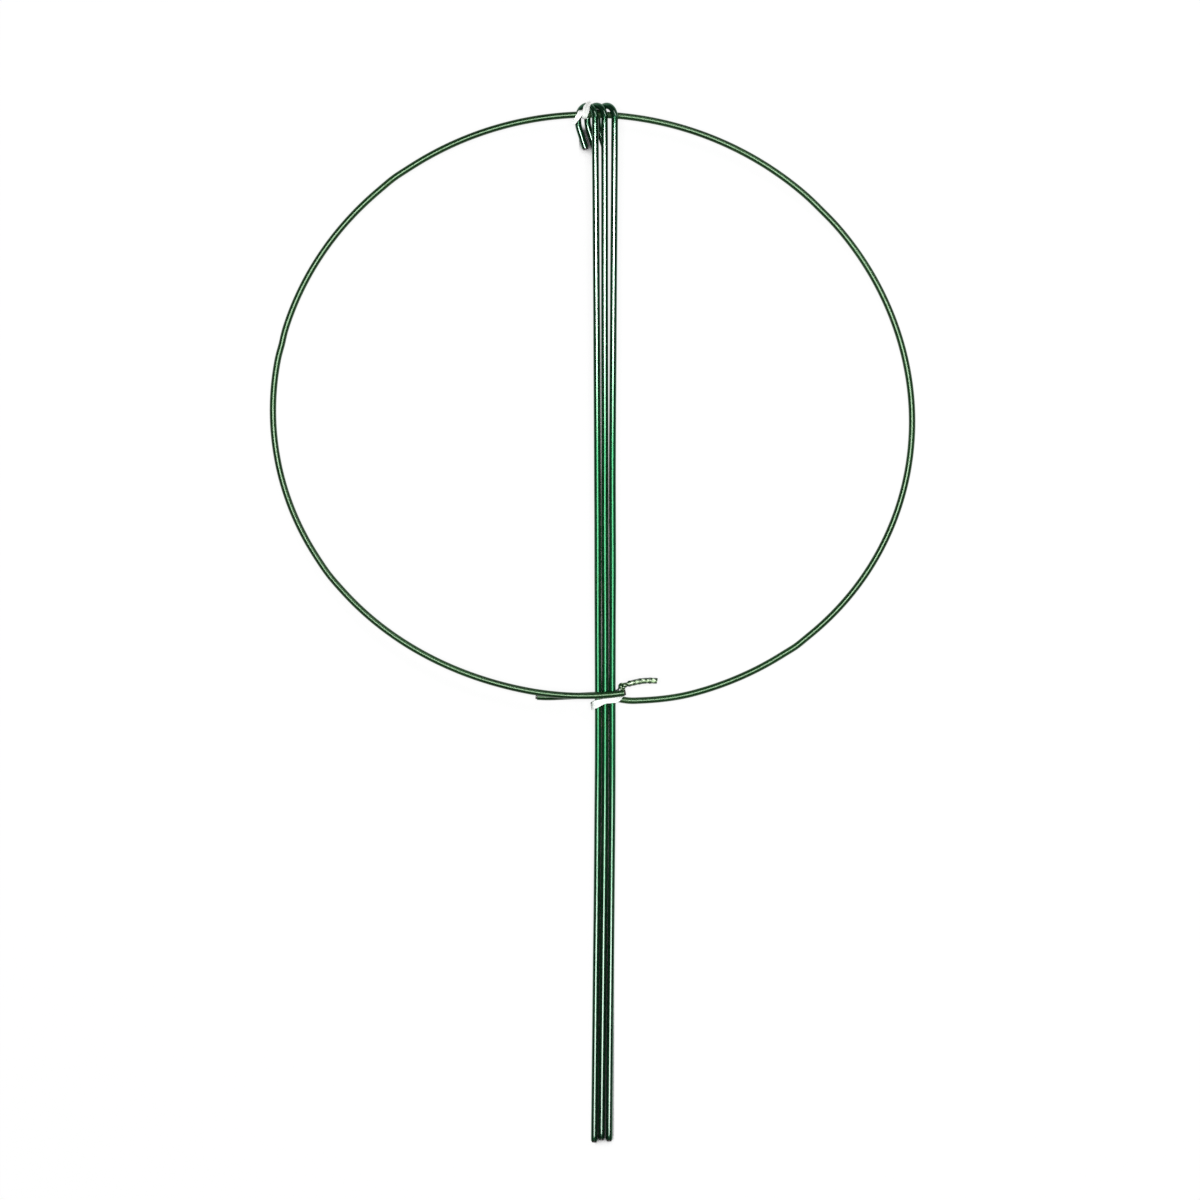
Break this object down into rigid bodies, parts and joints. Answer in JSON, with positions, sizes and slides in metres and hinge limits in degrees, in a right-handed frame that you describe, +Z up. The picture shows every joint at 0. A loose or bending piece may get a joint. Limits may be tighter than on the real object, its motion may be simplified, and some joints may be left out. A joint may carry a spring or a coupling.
{
  "type": "plant support",
  "caption": "Flat-packed wire plant support: a round hoop with overlapping ends and long hooked stakes hung on it side by side, plastic-coated wire, held by twist ties.",
  "frame": {"origin": "middle of the object's footprint, on the floor it lies on", "axes": "+Y along the stakes towards their hooks, +X to the right seen from above with the hooks at the far end, +Z up off the floor"},
  "size_m": [0.373, 0.6018, 0.016],
  "materials": {
    "coating": "glossy dark green coating",
    "steel": "drawn wire, cut ends",
    "tie_ribbon": "thin ribbon, white on its outer face and green on the other",
    "tie_wire": "thin soft wire"
  },
  "bodies": {
    "hoop": {"hoop_coating": "coating", "hoop_core": "steel", "top_tie_ribbon": "tie_ribbon", "top_tie_wire": "tie_wire", "lower_tie_ribbon": "tie_ribbon", "lower_tie_wire": "tie_wire"},
    "stake_1": {"stake_1_coating": "coating", "stake_1_core": "steel"},
    "stake_2": {"stake_2_coating": "coating", "stake_2_core": "steel"},
    "stake_3": {"stake_3_coating": "coating", "stake_3_core": "steel"}
  },
  "joints": [
    {"name": "stake_1_slide", "type": "slide", "parent": "hoop", "child": "stake_1", "axis": [0.003, 0.9998, 0.0207], "range_m": [0, 0.18]},
    {"name": "stake_2_slide", "type": "slide", "parent": "stake_1", "child": "stake_2", "axis": [0.003, 0.9998, 0.0207], "range_m": [0, 0.025]},
    {"name": "stake_3_slide", "type": "slide", "parent": "stake_2", "child": "stake_3", "axis": [0.003, 0.9998, 0.0207], "range_m": [0, 0.025]}
  ]
}
